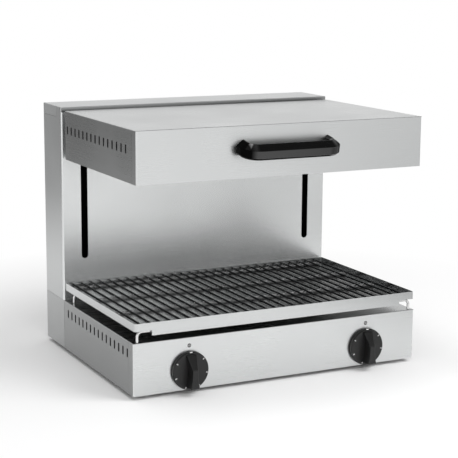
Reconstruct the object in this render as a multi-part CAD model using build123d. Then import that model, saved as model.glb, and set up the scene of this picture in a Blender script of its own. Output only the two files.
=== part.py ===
"""Salamander grill: a counter-top grill whose heated hood slides up and down a rear column.

Millimetres. X runs to the operator's right, Y from the front to the back and Z up.
The origin is the middle of the footprint, on the surface that the feet stand on.
The hood is modelled at its top position, where the operator leaves it to load the grid.
"""
import os
from math import radians, tan

from build123d import *

os.makedirs("parts", exist_ok=True)

# Sheet metal, fits and cuts
sheet = 1.2                  # wall of the casing panels
bend_radius = 2.5            # outer radius of a fold
edge_round = 0.9             # softened edge of a flat plate
seam = 0.4                   # gap between neighbouring panels
running_fit = 0.08           # radial clearance of a shaft or a bush that runs
free_gap = 0.4               # gap between loose pieces that pass or rest on each other
overrun = 4.0                # how far a cutter passes the face that it opens

# Base casing
base_width = 600.0
base_depth = 464.0
base_height = 99.0
front_return = 21.0          # how far the front panel wraps round each side
pan_flange = 14.0            # upturned edge of the bottom pan
pan_vent_count = 7
pan_vent_pitch = 60.0
pan_vent_length = 40.0
pan_vent_width = 6.0
foot_height = 8.0
foot_diameter = 22.0
foot_inset = 31.0            # from the side and the front or back to the foot's axis
foot_chamfer = 1.5
foot_screw_diameter = 5.0
foot_screw_length = 7.0

# Vent slots in the side panels
vent_width = 6.0
vent_height = 16.0
vent_corner = 1.5
base_vent_pitch = 20.6
base_vent_first = 27.5       # from the base's front face to the first slot
base_vent_margin = 20.0      # least distance from the last slot to the backsplash
base_vent_drop = 23.0        # from the base's top to the middle of the slots
hood_vent_pitch = 21.3
hood_vent_first = 47.5       # from the hood's front face to the first slot
hood_vent_margin = 10.0      # least distance from the last slot to the hood's back
hood_vent_drop = 37.0        # from the hood's top to the middle of the slots

# Column
column_depth = 104.0         # from the backsplash to the back
column_rise = 390.0          # from the base's top to the column's top
splash_return = 8.0
cap_lip = 10.0               # front edge of the cap
cap_flange = 21.0            # side and rear edges of the cap
cap_flange_offset = 28.0     # the side flanges start this far behind the backsplash
slot_width = 14.0
slot_inset = 46.0            # from the column's side to the middle of each slot
slot_headroom = 8.0          # upper end of the slots above the arms' highest place
slot_footroom = 10.0         # lower end of the slots below the arms' lowest place
rear_vent_count = 12
rear_vent_pitch = 40.0
rear_vent_length = 24.0
rear_vent_width = 5.0
rear_vent_drop = 40.0        # from the cover's top to its row of vents

# Hood casing
hood_inset = 3.25            # the hood is this much narrower than the base on each side
hood_height = 96.0
hood_overhang = 11.5         # the hood's front stands this far in front of the base
hood_gap = 13.5              # between the hood's back and the backsplash
hood_rise = 288.0            # from the base's top to the hood's underside, at the top position
hood_travel = 205.0
hood_return = 20.0
rim_width = 22.0

# Reflector, insulation and heating elements
reflector_sheet = 0.8
reflector_height = 28.0
reflector_flare = 24.0       # the reflector's top is this much smaller on each side
insulation_thickness = 18.0
element_diameter = 8.5
element_runs = 6
element_drop = 14.0          # from the reflector's top to the middle of the tube
element_margin = 16.0        # from the reflector's top edge to the outer runs
element_middle_gap = 40.0    # between the two elements
element_bend_share = 0.45
terminal_bend = 10.0
terminal_rise = 12.0         # the tube's ends stand this far above the insulation
support_width = 10.0
support_thickness = 2.0
support_places_share = (-0.28, 0.28)

# Handle
handle_length = 204.0
handle_height = 28.0
handle_bar = 20.0            # thickness of the bar, front to back
handle_reach = 45.0          # from the hood's front to the front of the bar
handle_corner = 22.0         # corner radius along the middle of the bar
handle_drop = 45.0           # from the hood's top to the middle of the bar
handle_tilt = 10.0           # degrees, the feet rise this much towards the hood
handle_round = 1.8
handle_facet_rise_share = 0.36
handle_facet_run_share = 0.30
handle_chamfer_share = 0.22
handle_screw_diameter = 6.0
handle_screw_depth = 16.0
handle_screw_head_diameter = 12.0
handle_screw_head_height = 4.0

# Arms, carriage and guide rods
arm_thickness = 6.0
arm_height = 60.0
arm_drop = 26.0              # from the hood's top to the arms' top
arm_foot_width = 40.0
arm_foot_thickness = 4.0
carriage_offset = 25.0       # from the backsplash to the carriage plate
carriage_thickness = 3.0
guide_rod_diameter = 12.0
guide_rod_inset = 85.0       # from the column's side to each rod
guide_rod_offset = 42.0      # from the backsplash to the rods
bush_wall = 2.5
bush_length = 18.0
bush_flange_width = 2.5
bush_flange_thickness = 2.0
housing_wall = 5.0           # carriage metal round the bushes
bracket_thickness = 4.0
bracket_lip = 24.0
lower_bracket_drop = 21.0    # from the slots' lower end to the lower bracket
upper_bracket_drop = 14.0    # from the column's top to the upper bracket

# Counterbalance: weight, pulleys and cables
weight_width = 350.0
weight_depth = 32.0
weight_height = 112.0
weight_floor = 14.0          # the weight's lowest place above the bottom pan
weight_rod_diameter = 8.0
weight_rod_spacing = 120.0
cable_diameter = 3.0
cable_spacing = 240.0
pulley_diameter = 40.0       # across the middle of the cable
pulley_rim = 3.5             # rim outside the middle of the cable
pulley_width = 10.0
pulley_gap = 2.0             # between the pulley's rim and the upper bracket's clevis
axle_diameter = 8.0
axle_head = 3.0
cheek_thickness = 3.0
cheek_width = 22.0
cheek_gap = 0.6
anchor_width = 14.0
anchor_height = 10.0
anchor_drop = 30.0           # from the pulley's axis to the carriage anchors' top

# Controls
knob_inset = 111.0           # from the base's side to each knob's axis
knob_rise = 37.0             # from the base's underside to the knobs' axes
knob_diameter = 72.0
knob_gap = 1.5               # between the panel and the knob's skirt
skirt_rim = 5.0
skirt_height = 7.5
skirt_top_diameter = 69.0
skirt_hollow_diameter = 46.0
skirt_hollow_depth = 5.5
grip_length = 64.0
grip_width = 22.0
grip_waist = 13.5
grip_height = 20.0           # above the skirt
grip_ramp = 26.0             # length of the slope at the pointer's end
grip_toe = 2.5               # height of the grip at the foot of that slope
grip_crown = 6.0
grip_draft = 4.0             # degrees
grip_round = 1.5
shaft_diameter = 6.0
shaft_flat = 1.2
shaft_in_knob = 14.0
shaft_in_regulator = 10.0
regulator_width = 44.0
regulator_height = 45.0
regulator_depth = 34.0
regulator_bush_diameter = 10.0
regulator_nut_width = 14.0
regulator_nut_thickness = 2.5
lamp_drop = 15.5             # from the base's top to the lamps' axes
lamp_diameter = 8.0
lamp_dome = 2.6
lamp_stem_diameter = 6.4
lamp_body_diameter = 9.0
lamp_body_length = 17.0

# Mains inlet
gland_inset = 68.0           # from the base's right side to the gland
gland_rise = 34.0            # from the base's underside to the gland
gland_diameter = 20.0
gland_bore = 11.0
gland_hex = 24.0
gland_hex_thickness = 5.0
gland_reach = 17.0
block_width = 58.0
block_depth = 24.0
block_height = 22.0
block_offset = 52.0          # from the back to the terminal block
block_bore = 8.0
block_ways = 3

# Tray and its wire legs
tray_inset = 2.0             # the tray is this much narrower than the base on each side
tray_height = 14.5
tray_wall = 1.0
tray_corner = 5.0
tray_overhang = 2.4          # the tray's front stands this far in front of the base
tray_gap = 3.4               # between the tray's rear and the backsplash
tray_lift = 22.0             # from the base's top to the tray's underside
tray_skirt = 24.0            # depth of the tray's front wall
notch_width = 34.0           # ends of the front wall cut back for the legs
leg_wire = 5.0
leg_inset = 8.0              # from the tray's sides to the legs
leg_bend = 9.0
front_leg_offset = 7.5       # from the tray's front to the front wire
rear_leg_offset = 28.0       # from the tray's rear to the rear wire
weld_gap = 0.05

# Wire grid
rod_diameter = 4.0
rod_pitch = 20.0
grid_margin = 16.0           # least gap between the outer rods and the tray's sides
cross_diameter = 6.0
cross_count = 4
weld_sink = 0.5              # how far a rod sinks into a cross rod at a weld
grid_gap = 3.0               # between the rods' ends and the tray
cross_inset = 8.0            # from the rods' ends to the outer cross rods

# Levels
base_bottom = foot_height
base_top = base_bottom + base_height
column_top = base_top + column_rise
hood_bottom = base_top + hood_rise
hood_top = hood_bottom + hood_height
tray_bottom = base_top + tray_lift
tray_top = tray_bottom + tray_height
arm_top = hood_top - arm_drop
arm_bottom = arm_top - arm_height
slot_bottom = arm_bottom - hood_travel - slot_footroom
slot_top = arm_top + slot_headroom
pan_top = base_bottom + sheet
lamp_rise = base_height - lamp_drop

# Places along the depth and the width
reach = hood_overhang + handle_reach
front_y = reach - (reach + base_depth + gland_reach) / 2
back_y = front_y + base_depth
splash_y = back_y - column_depth
hood_front = front_y - hood_overhang
hood_rear = splash_y - hood_gap
hood_depth = hood_rear - hood_front
tray_front = front_y - tray_overhang
tray_rear = splash_y - tray_gap
tray_depth = tray_rear - tray_front
half_base = base_width / 2
half_hood = half_base - hood_inset
half_tray = half_base - tray_inset
hood_width = 2 * half_hood
tray_width = 2 * half_tray
slot_spacing = base_width - 2 * slot_inset
guide_rod_spacing = base_width - 2 * guide_rod_inset
knob_spacing = base_width - 2 * knob_inset
gland_x = half_base - gland_inset
rod_y = splash_y + guide_rod_offset
cable_y = rod_y
weight_y = cable_y + pulley_diameter


def block(x, y, z):
    """A box between the low and high ends of its three spans."""
    spans = (x, y, z)
    middle = [(low + high) / 2 for low, high in spans]
    return Pos(*middle) * Box(*[high - low for low, high in spans])


def rod(start, end, diameter):
    """A round bar between two points."""
    run = Vector(*end) - Vector(*start)
    return Plane(start, z_dir=run) * extrude(Circle(diameter / 2), run.length)


def wire(points, bend, diameter):
    """A round wire bent at the given points."""
    path = FilletPolyline(*points, radius=bend)
    return sweep(Plane(path @ 0, z_dir=path % 0) * Circle(diameter / 2), path=path)


def around(middle, size):
    """The span of a size about its middle."""
    return middle - size / 2, middle + size / 2


def mirrored(piece):
    """The same piece on the other side of the middle."""
    return mirror(piece, about=Plane.YZ)


def channel(width, depth, height):
    """A sheet with a fold at each side: a front, and a return along each side."""
    from_front = (Align.CENTER, Align.MIN)
    outer = Rectangle(width, depth, align=from_front)
    outer = fillet(outer.vertices().sort_by(Axis.Y)[:2], bend_radius)
    inner = Pos(0, sheet) * Rectangle(width - 2 * sheet, depth, align=from_front)
    inner = fillet(inner.vertices().sort_by(Axis.Y)[:2], bend_radius - sheet)
    return extrude(outer - inner, height)


def side_vents(x, first_y, last_y, pitch, z):
    """Cutters for a row of upright slots in a side panel, as many as fit."""
    gaps = int((last_y - first_y) / pitch)
    face = Plane((x, first_y + pitch * gaps / 2, z), x_dir=(0, 1, 0), z_dir=(1, 0, 0))
    row = GridLocations(pitch, pitch, gaps + 1, 1)
    slot = RectangleRounded(vent_width, vent_height, vent_corner)
    return [face * place * extrude(slot, overrun, both=True) for place in row]


def soft_plate(x, y, z):
    """A flat plate with its upper edges eased."""
    plate = block(x, y, z)
    return fillet(plate.faces().sort_by(Axis.Z)[-1].edges(), edge_round)


# Base casing

def base_front_panel():
    """Front of the base, wrapped round both sides, with holes for the controls."""
    panel = Pos(0, front_y, base_bottom) * channel(base_width, front_return, base_height - sheet)
    for x in around(0, knob_spacing):
        bush = (x, front_y, base_bottom + knob_rise)
        lamp = (x, front_y, base_bottom + lamp_rise)
        panel -= through_front(bush, regulator_bush_diameter + 2 * running_fit)
        panel -= through_front(lamp, lamp_stem_diameter + 2 * running_fit)
    return panel


def through_front(place, diameter):
    """Cutter for a round hole through a front panel."""
    x, y, z = place
    return rod((x, y - overrun, z), (x, y + overrun, z), diameter)


def base_side():
    """Left side of the base, with its row of vents."""
    outer = -half_base
    panel = block((outer, outer + sheet), (front_y + front_return + seam, splash_y - seam),
                  (base_bottom, base_top - sheet))
    return panel - side_vents(outer, front_y + base_vent_first, splash_y - base_vent_margin,
                              base_vent_pitch, base_top - base_vent_drop)


def base_top_plate():
    """Flat worktop of the base, with a tongue under the backsplash."""
    plate = soft_plate((-half_base, half_base), (front_y, splash_y), (base_top - sheet, base_top))
    tongue_half = half_base - sheet - seam
    return plate + block((-tongue_half, tongue_half), (splash_y - sheet, splash_y + splash_return),
                         (base_top - sheet, base_top))


def base_bottom_pan():
    """Bottom of the base: a shallow pan inside the panels, with vents and holes for the feet."""
    width, depth = base_width - 2 * sheet, base_depth - 2 * sheet
    pan = extrude(RectangleRounded(width, depth, bend_radius), pan_flange)
    pan -= Pos(0, 0, sheet) * extrude(
        RectangleRounded(width - 2 * sheet, depth - 2 * sheet, bend_radius - sheet), pan_flange)
    pan = Pos(0, (front_y + back_y) / 2, base_bottom) * pan
    middle_y, row_gap = (front_y + splash_y) / 2, (splash_y - front_y) / 2
    vents = Pos(0, middle_y, pan_top) * GridLocations(pan_vent_pitch, row_gap, pan_vent_count, 2)
    slot = SlotOverall(pan_vent_length, pan_vent_width)
    pan -= [place * extrude(slot, overrun, both=True) for place in vents]
    hole = Circle(foot_screw_diameter / 2 + running_fit)
    return pan - [Pos(x, y, pan_top) * extrude(hole, overrun, both=True) for x, y in foot_places()]


def foot_places():
    """Axes of the four feet."""
    half = half_base - foot_inset
    return [(x, y) for x in (-half, half) for y in (front_y + foot_inset, back_y - foot_inset)]


def feet():
    """Four round feet, each with the screw that holds it to the pan."""
    disc = extrude(Circle(foot_diameter / 2), foot_height)
    disc = chamfer(disc.faces().sort_by(Axis.Z)[0].edges(), foot_chamfer)
    disc += extrude(Circle(foot_screw_diameter / 2), foot_height + foot_screw_length)
    return [Pos(x, y) * disc for x, y in foot_places()]


def rear_side():
    """Left side of the base below the column."""
    return block((-half_base, -half_base + sheet), (splash_y + seam, back_y),
                 (base_bottom, base_top - seam / 2))


def rear_base_cover():
    """Back of the base, with the hole for the cable gland."""
    half = half_base - sheet - seam
    cover = block((-half, half), (back_y - sheet, back_y), (base_bottom, base_top - seam / 2))
    place = (gland_x, back_y, base_bottom + gland_rise)
    return cover - through_front(place, gland_diameter + 2 * running_fit)


# Column

def backsplash():
    """Front of the column, with the two slots that the hood's arms travel in."""
    panel = Pos(0, splash_y, base_top) * channel(base_width, splash_return, column_rise - sheet)
    length = slot_top - slot_bottom
    face = Plane((0, splash_y, slot_bottom + length / 2), x_dir=(1, 0, 0), z_dir=(0, -1, 0))
    slot = extrude(SlotOverall(length, slot_width, rotation=90), overrun, both=True)
    return panel - [face * Pos(x, 0) * slot for x in around(0, slot_spacing)]


def column_side():
    """Left side of the column, stepped at the top for the cap's flange."""
    x = (-half_base, -half_base + sheet)
    side = block(x, (splash_y + splash_return + seam, back_y),
                 (base_top + seam / 2, column_top - sheet))
    return side - block(x, (splash_y + cap_flange_offset - seam, back_y),
                        (column_top - cap_flange - seam, column_top))


def column_rear_cover():
    """Removable back of the column, with a row of vents near its top."""
    half = half_base - sheet - seam
    top = column_top - cap_flange - seam
    cover = block((-half, half), (back_y - sheet, back_y), (base_top + seam / 2, top))
    face = Plane((0, back_y, top - rear_vent_drop), x_dir=(1, 0, 0), z_dir=(0, 1, 0))
    row = GridLocations(rear_vent_pitch, rear_vent_pitch, rear_vent_count, 1)
    slot = SlotOverall(rear_vent_length, rear_vent_width)
    return cover - [face * place * extrude(slot, overrun, both=True) for place in row]


def column_cap():
    """Lid of the column: a front lip over the backsplash, and side and rear flanges."""
    outer_x = (-half_base, half_base)
    inner_x = (-half_base + sheet, half_base - sheet)
    low = column_top - cap_flange
    cap = block(outer_x, (splash_y - sheet, back_y), (low, column_top))
    cap = fillet(cap.faces().sort_by(Axis.Z)[-1].edges(), edge_round)
    cap -= block(inner_x, (splash_y, back_y - sheet), (low, column_top - sheet))
    cap -= block(outer_x, (splash_y, splash_y + cap_flange_offset), (low, column_top - sheet))
    return cap - block(outer_x, (splash_y - sheet, splash_y), (low, column_top - cap_lip))


def upper_bracket():
    """Shelf at the column's top that holds the rods and the pulleys."""
    top = column_top - upper_bracket_drop
    back = weight_y + cheek_width / 2
    return rod_bracket((top - bracket_thickness, top), back) - [
        rod((x, weight_y, top - bracket_thickness - overrun), (x, weight_y, top + overrun),
            weight_rod_diameter + 2 * running_fit) for x in around(0, weight_rod_spacing)]


def lower_bracket():
    """Shelf below the slots that holds the lower ends of the guide rods."""
    top = slot_bottom - lower_bracket_drop
    return rod_bracket((top - bracket_thickness, top), rod_y + guide_rod_diameter)


def rod_bracket(z, back):
    """An angle on the back of the backsplash, drilled for the guide rods."""
    low, high = z
    half = guide_rod_spacing / 2 + guide_rod_diameter
    inner = splash_y + sheet
    shelf = block((-half, half), (inner, back), z)
    shelf += block((-half, half), (inner, inner + bracket_thickness), (high - bracket_lip, high))
    return shelf - [rod((x, rod_y, low - overrun), (x, rod_y, high + overrun),
                        guide_rod_diameter + 2 * running_fit) for x in around(0, guide_rod_spacing)]


def guide_rod():
    """Left rod that the carriage slides on."""
    x = -guide_rod_spacing / 2
    low = slot_bottom - lower_bracket_drop - bracket_thickness
    return rod((x, rod_y, low), (x, rod_y, column_top - upper_bracket_drop), guide_rod_diameter)


def weight_guide_rods():
    """Two thinner rods that keep the counterweight upright, from the pan to the upper bracket."""
    top = column_top - upper_bracket_drop
    return [rod((x, weight_y, pan_top), (x, weight_y, top), weight_rod_diameter)
            for x in around(0, weight_rod_spacing)]


# Counterbalance

pulley_y = (cable_y + weight_y) / 2
clevis_top = column_top - upper_bracket_drop - bracket_thickness
pulley_z = clevis_top - cheek_thickness - pulley_gap - pulley_diameter / 2 - pulley_rim
anchor_top = pulley_z - anchor_drop
weight_bottom = pan_top + weight_floor
weight_top = weight_bottom + weight_height


def pulley():
    """Left cable pulley, with a round groove and a bored hub."""
    outer = pulley_diameter / 2 + pulley_rim
    axis = Plane((-cable_spacing / 2, pulley_y, pulley_z), x_dir=(0, 1, 0), z_dir=(1, 0, 0))
    ring = Circle(outer) - Circle(axle_diameter / 2 + running_fit)
    wheel = extrude(ring, pulley_width / 2, both=True)
    groove_width = cable_diameter + 2 * free_gap
    groove = Pos(pulley_diameter / 2, 0) * Circle(groove_width / 2)
    mouth = Pos(outer, 0) * Rectangle(2 * pulley_rim, groove_width)
    return axis * (wheel - revolve(Plane.XZ * (groove + mouth), Axis.Z))


def pulley_brackets():
    """A clevis for each pulley, under the upper bracket."""
    inside = pulley_width / 2 + cheek_gap
    outside = inside + cheek_thickness
    y = around(pulley_y, cheek_width)
    clevis = block((-outside, outside), y, (pulley_z - cheek_width / 2, clevis_top))
    clevis -= block((-inside, inside), y, (pulley_z - cheek_width / 2, clevis_top - cheek_thickness))
    bore = axle_diameter + 2 * running_fit
    clevis -= rod((-outside, pulley_y, pulley_z), (outside, pulley_y, pulley_z), bore)
    return [Pos(x) * clevis for x in around(0, cable_spacing)]


def pulley_axles():
    """A headed pin through each clevis."""
    end = pulley_width / 2 + cheek_gap + cheek_thickness
    pin = rod((-end, pulley_y, pulley_z), (end, pulley_y, pulley_z), axle_diameter)
    for near, far in ((-end - axle_head, -end), (end, end + axle_head)):
        pin += rod((near, pulley_y, pulley_z), (far, pulley_y, pulley_z), axle_diameter + 2 * axle_head)
    return [Pos(x) * pin for x in around(0, cable_spacing)]


def cable_wraps():
    """The half turn of each cable over its pulley."""
    arc = CenterArc((0, 0), pulley_diameter / 2, 0, 180)
    turn = sweep(Plane(arc @ 0, z_dir=arc % 0) * Circle(cable_diameter / 2), path=arc)
    face = Plane((0, pulley_y, pulley_z), x_dir=(0, 1, 0), z_dir=(1, 0, 0))
    return [Pos(x) * (face * turn) for x in around(0, cable_spacing)]


def cable_runs(y, low):
    """The upright run of each cable, from its pulley down to its anchor."""
    return [rod((x, y, low), (x, y, pulley_z), cable_diameter) for x in around(0, cable_spacing)]


def counterweight():
    """Steel block that balances the hood, with an anchor for each cable on top."""
    body = block(around(0, weight_width), around(weight_y, weight_depth), (weight_bottom, weight_top))
    body -= [rod((x, weight_y, weight_bottom - overrun), (x, weight_y, weight_top + overrun),
                 weight_rod_diameter + 2 * free_gap) for x in around(0, weight_rod_spacing)]
    for x in around(0, cable_spacing):
        body += block(around(x, anchor_width), around(weight_y, anchor_width),
                      (weight_top, weight_top + anchor_height))
    return body


# Hood casing

def hood_front_panel():
    """Front of the hood, wrapped round both sides, drilled for the handle's screws."""
    panel = Pos(0, hood_front, hood_bottom) * channel(hood_width, hood_return, hood_height - sheet)
    return panel - [through_front((x, hood_front, handle_foot_z), handle_screw_diameter + 2 * running_fit)
                    for x in around(0, handle_length - handle_bar)]


def hood_side():
    """Left side of the hood, with its row of vents."""
    outer = -half_hood
    panel = block((outer, outer + sheet), (hood_front + hood_return + seam, hood_rear),
                  (hood_bottom, hood_top - sheet))
    return panel - side_vents(outer, hood_front + hood_vent_first, hood_rear - hood_vent_margin,
                              hood_vent_pitch, hood_top - hood_vent_drop)


def hood_top_plate():
    """Flat top of the hood."""
    return soft_plate((-half_hood, half_hood), (hood_front, hood_rear), (hood_top - sheet, hood_top))


def hood_rear_panel():
    """Back of the hood, between its sides."""
    half = half_hood - sheet - seam
    return block((-half, half), (hood_rear - sheet, hood_rear), (hood_bottom, hood_top - sheet))


def hood_rim():
    """Flat frame round the hood's underside, which the reflector lies on."""
    half = half_hood - sheet - seam
    low_y, high_y = hood_front + sheet + seam, hood_rear - sheet - seam
    z = (hood_bottom, hood_bottom + sheet)
    frame = block((-half, half), (low_y, high_y), z)
    return frame - block((-half + rim_width, half - rim_width), (low_y + rim_width, high_y - rim_width), z)


# Reflector, insulation and heating elements

hood_middle = (hood_front + hood_rear) / 2
reflector_bottom = hood_bottom + sheet
reflector_top = reflector_bottom + reflector_height
insulation_top = reflector_top + insulation_thickness
mouth_half_x = half_hood - sheet - seam - rim_width
mouth_half_y = hood_depth / 2 - sheet - seam - rim_width
crown_half_x = mouth_half_x - reflector_flare
crown_half_y = mouth_half_y - reflector_flare
element_z = reflector_top - reflector_sheet - element_drop
terminal_y = hood_middle + crown_half_y - element_margin
first_run = element_middle_gap / 2
last_run = crown_half_x - element_margin


def reflector():
    """Bright inverted pan over the elements, with a flange on the rim."""
    wall = reflector_sheet
    lower = Plane((0, hood_middle, reflector_bottom))
    upper = Plane((0, hood_middle, reflector_top))
    outside = loft([lower * Rectangle(2 * mouth_half_x, 2 * mouth_half_y),
                    upper * Rectangle(2 * crown_half_x, 2 * crown_half_y)])
    flange = lower * extrude(
        Rectangle(2 * mouth_half_x + rim_width, 2 * mouth_half_y + rim_width), wall)
    inside = loft([lower * Rectangle(2 * (mouth_half_x - wall), 2 * (mouth_half_y - wall)),
                   Plane((0, hood_middle, reflector_top - wall))
                   * Rectangle(2 * (crown_half_x - wall), 2 * (crown_half_y - wall))])
    return outside + flange - inside - terminal_holes()


def terminal_holes():
    """Cutters where the elements' ends pass the reflector and the insulation."""
    return [rod((x, terminal_y, element_z), (x, terminal_y, insulation_top + overrun),
                element_diameter + 2 * free_gap)
            for x in (-last_run, -first_run, first_run, last_run)]


def insulation():
    """Mat of heat insulation on the reflector."""
    mat = block((-crown_half_x, crown_half_x), around(hood_middle, 2 * crown_half_y),
                (reflector_top, insulation_top))
    return mat - terminal_holes()


def heating_element():
    """Left heating element: one tube in six runs, with both ends turned up at the back."""
    pitch = (last_run - first_run) / (element_runs - 1)
    ends = around(hood_middle, 2 * (terminal_y - hood_middle))
    points = [(-first_run, terminal_y, insulation_top + terminal_rise)]
    for run in range(element_runs):
        x = -first_run - pitch * run
        order = reversed(ends) if run % 2 == 0 else ends
        points += [(x, y, element_z) for y in order]
    points.append((-last_run, terminal_y, insulation_top + terminal_rise))
    turns = [pitch * element_bend_share] * (2 * element_runs - 2)
    return wire(points, [terminal_bend, *turns, terminal_bend], element_diameter)


def element_supports():
    """Flat straps under the elements, hung from the reflector between the runs."""
    pitch = (last_run - first_run) / (element_runs - 1)
    top = element_z - element_diameter / 2
    hangers = [first_run + pitch * (run + 1 / 2) for run in (1, element_runs - 2)]
    straps = []
    for share in support_places_share:
        y = around(hood_middle + hood_depth * share, support_width)
        strap = block(around(0, 2 * (last_run + element_diameter)), y, (top - support_thickness, top))
        for x in (0, *hangers, *[-place for place in hangers]):
            strap += block(around(x, support_thickness), y, (top, reflector_top - reflector_sheet))
        straps.append(strap)
    return straps


# Handle

def handle_section():
    """The bar's outline, front to the left."""
    half_bar, half_height = handle_bar / 2, handle_height / 2
    facet_rise = handle_height * handle_facet_rise_share
    facet_run = handle_bar * handle_facet_run_share
    chamfer_size = handle_bar * handle_chamfer_share
    outline = Polyline(
        (-half_bar, -half_height + chamfer_size), (-half_bar, half_height - facet_rise),
        (half_bar - facet_run, half_height), (half_bar, half_height - facet_run / 2),
        (half_bar, -half_height + chamfer_size), (half_bar - chamfer_size, -half_height),
        (-half_bar + chamfer_size, -half_height), close=True)
    return fillet(make_face(outline).vertices(), handle_round)


handle_z = hood_top - handle_drop
handle_slope = tan(radians(handle_tilt))
handle_front = (Rot(0, 0, handle_tilt) * handle_section()).bounding_box().min.X
handle_bar_y = hood_front - handle_reach - handle_front
handle_foot_z = handle_z + (hood_front - handle_bar_y) * handle_slope


def hood_handle():
    """Faceted moulded bar with both ends turned back and up to the hood."""
    foot_x = (handle_length - handle_bar) / 2
    past = hood_front + handle_bar
    past_z = handle_foot_z + handle_bar * handle_slope
    path = FilletPolyline((-foot_x, past, past_z), (-foot_x, handle_bar_y, handle_z),
                          (foot_x, handle_bar_y, handle_z), (foot_x, past, past_z), radius=handle_corner)
    bar = sweep(Plane(path @ 0, x_dir=(1, 0, 0), z_dir=path % 0) * handle_section(), path=path)
    bar -= block(around(0, 2 * handle_length), (hood_front, hood_front + handle_reach),
                 (handle_z - handle_height, handle_z + 2 * handle_height))
    return bar - [rod((x, hood_front - handle_screw_depth, handle_foot_z), (x, hood_front, handle_foot_z),
                      handle_screw_diameter + 2 * running_fit) for x in (-foot_x, foot_x)]


def handle_screws():
    """Two screws that hold the handle from inside the hood."""
    inner = hood_front + sheet
    tip = hood_front - handle_screw_depth + free_gap
    screw = rod((0, tip, handle_foot_z), (0, inner, handle_foot_z), handle_screw_diameter)
    screw += rod((0, inner, handle_foot_z), (0, inner + handle_screw_head_height, handle_foot_z),
                 handle_screw_head_diameter)
    return [Pos(x) * screw for x in around(0, handle_length - handle_bar)]


# Arms and carriage

carriage_front = splash_y + carriage_offset
carriage_rear = carriage_front + carriage_thickness
bush_bore = guide_rod_diameter / 2 + running_fit
bush_outer = guide_rod_diameter / 2 + bush_wall


def hood_arm():
    """Left arm, from a foot on the hood's back, through its slot, to the carriage."""
    x = -slot_spacing / 2
    z = (arm_bottom, arm_top)
    arm = block(around(x, arm_thickness), (hood_rear, carriage_front), z)
    return arm + block(around(x, arm_foot_width), (hood_rear, hood_rear + arm_foot_thickness), z)


def carriage():
    """Cross plate behind the backsplash, with a bored housing on each rod and two cable anchors."""
    z = (arm_bottom, arm_top)
    plate = block(around(0, slot_spacing + arm_thickness), (carriage_front, carriage_rear), z)
    housing_half = bush_outer + housing_wall
    for x in around(0, guide_rod_spacing):
        plate += block(around(x, 2 * housing_half), (carriage_rear, rod_y + housing_half), z)
        plate -= rod((x, rod_y, arm_bottom), (x, rod_y, arm_top), 2 * (bush_outer + running_fit))
    for x in around(0, cable_spacing):
        plate += block(around(x, anchor_width), (carriage_rear, cable_y + anchor_width / 2),
                       (anchor_top - anchor_height, anchor_top))
    return plate


def slide_bushes():
    """A flanged bush in each end of each housing."""
    tube = Circle(bush_outer) - Circle(bush_bore)
    collar = Circle(bush_outer + bush_flange_width) - Circle(bush_bore)
    bush = extrude(tube, bush_length) + extrude(collar, -bush_flange_thickness)
    upper = mirror(bush, about=Plane.XY)
    return [Pos(x, rod_y, z) * piece for x in around(0, guide_rod_spacing)
            for z, piece in ((arm_bottom, bush), (arm_top, upper))]


# Controls. Each is made about its own axis, pointing up, and then turned to face the front.

def on_panel(x, rise):
    """Place on the front panel, with the piece's axis pointing at the operator."""
    return Pos(x, front_y, base_bottom + rise) * Rot(90, 0, 0)


def shaft_section(clearance):
    """Round shaft with one flat."""
    radius = shaft_diameter / 2 + clearance
    flat = Pos(0, shaft_diameter - shaft_flat + clearance) * Rectangle(2 * radius, shaft_diameter)
    return Circle(radius) - flat


def control_knob():
    """Moulded knob: a coned skirt and a waisted bar grip that slopes down to the pointer's end."""
    radius, top_radius = knob_diameter / 2, skirt_top_diameter / 2
    profile = make_face(Polyline((0, 0), (radius, 0), (radius, skirt_rim), (top_radius, skirt_height),
                                 (0, skirt_height), close=True))
    skirt = revolve(Plane.XZ * profile, Axis.Z)
    sag = (grip_width - grip_waist) / 2
    waist_radius = (grip_length ** 2 / 4 + sag ** 2) / (2 * sag)
    plan = Rectangle(grip_width, grip_length) & Circle(grip_length / 2)
    plan -= [Pos(side * (grip_waist / 2 + waist_radius), 0) * Circle(waist_radius) for side in (-1, 1)]
    grip = extrude(plan, grip_height, taper=grip_draft)
    half_grip = grip_length / 2
    side = make_face(Polyline((-half_grip, 0), (-half_grip, grip_height), (half_grip - grip_ramp, grip_height),
                              (half_grip, grip_toe), (half_grip, 0), close=True))
    side = fillet(side.vertices().group_by(Axis.Y)[-1], grip_crown)
    grip &= extrude(Plane.YZ * side, grip_width, both=True)
    grip = fillet([edge for edge in grip.edges() if edge.center().Z > 0], grip_round)
    knob = skirt + Pos(0, 0, skirt_height) * grip
    hollow = Circle(skirt_hollow_diameter / 2)
    knob -= extrude(hollow - Circle(shaft_diameter), skirt_hollow_depth)
    knob -= extrude(hollow, regulator_nut_thickness + free_gap - knob_gap)
    return Pos(0, 0, knob_gap) * (knob - extrude(shaft_section(running_fit), shaft_in_knob))


def knob_shaft():
    """Regulator shaft, from inside the regulator to the knob."""
    return Pos(0, 0, -sheet - shaft_in_regulator) * extrude(
        shaft_section(0), sheet + shaft_in_regulator + knob_gap + shaft_in_knob - free_gap)


def regulator():
    """Heat regulator behind the panel, held by the nut on its bush."""
    back = Pos(0, 0, -sheet)
    body = back * extrude(Rectangle(regulator_width, regulator_height), -regulator_depth)
    body += back * extrude(Circle(regulator_bush_diameter / 2), sheet + regulator_nut_thickness)
    body += extrude(RegularPolygon(regulator_nut_width / 2, 6), regulator_nut_thickness)
    bore = Circle(shaft_diameter / 2 + running_fit)
    depth = sheet + shaft_in_regulator + free_gap
    return body - Pos(0, 0, -depth) * extrude(bore, depth + regulator_nut_thickness)


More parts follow.
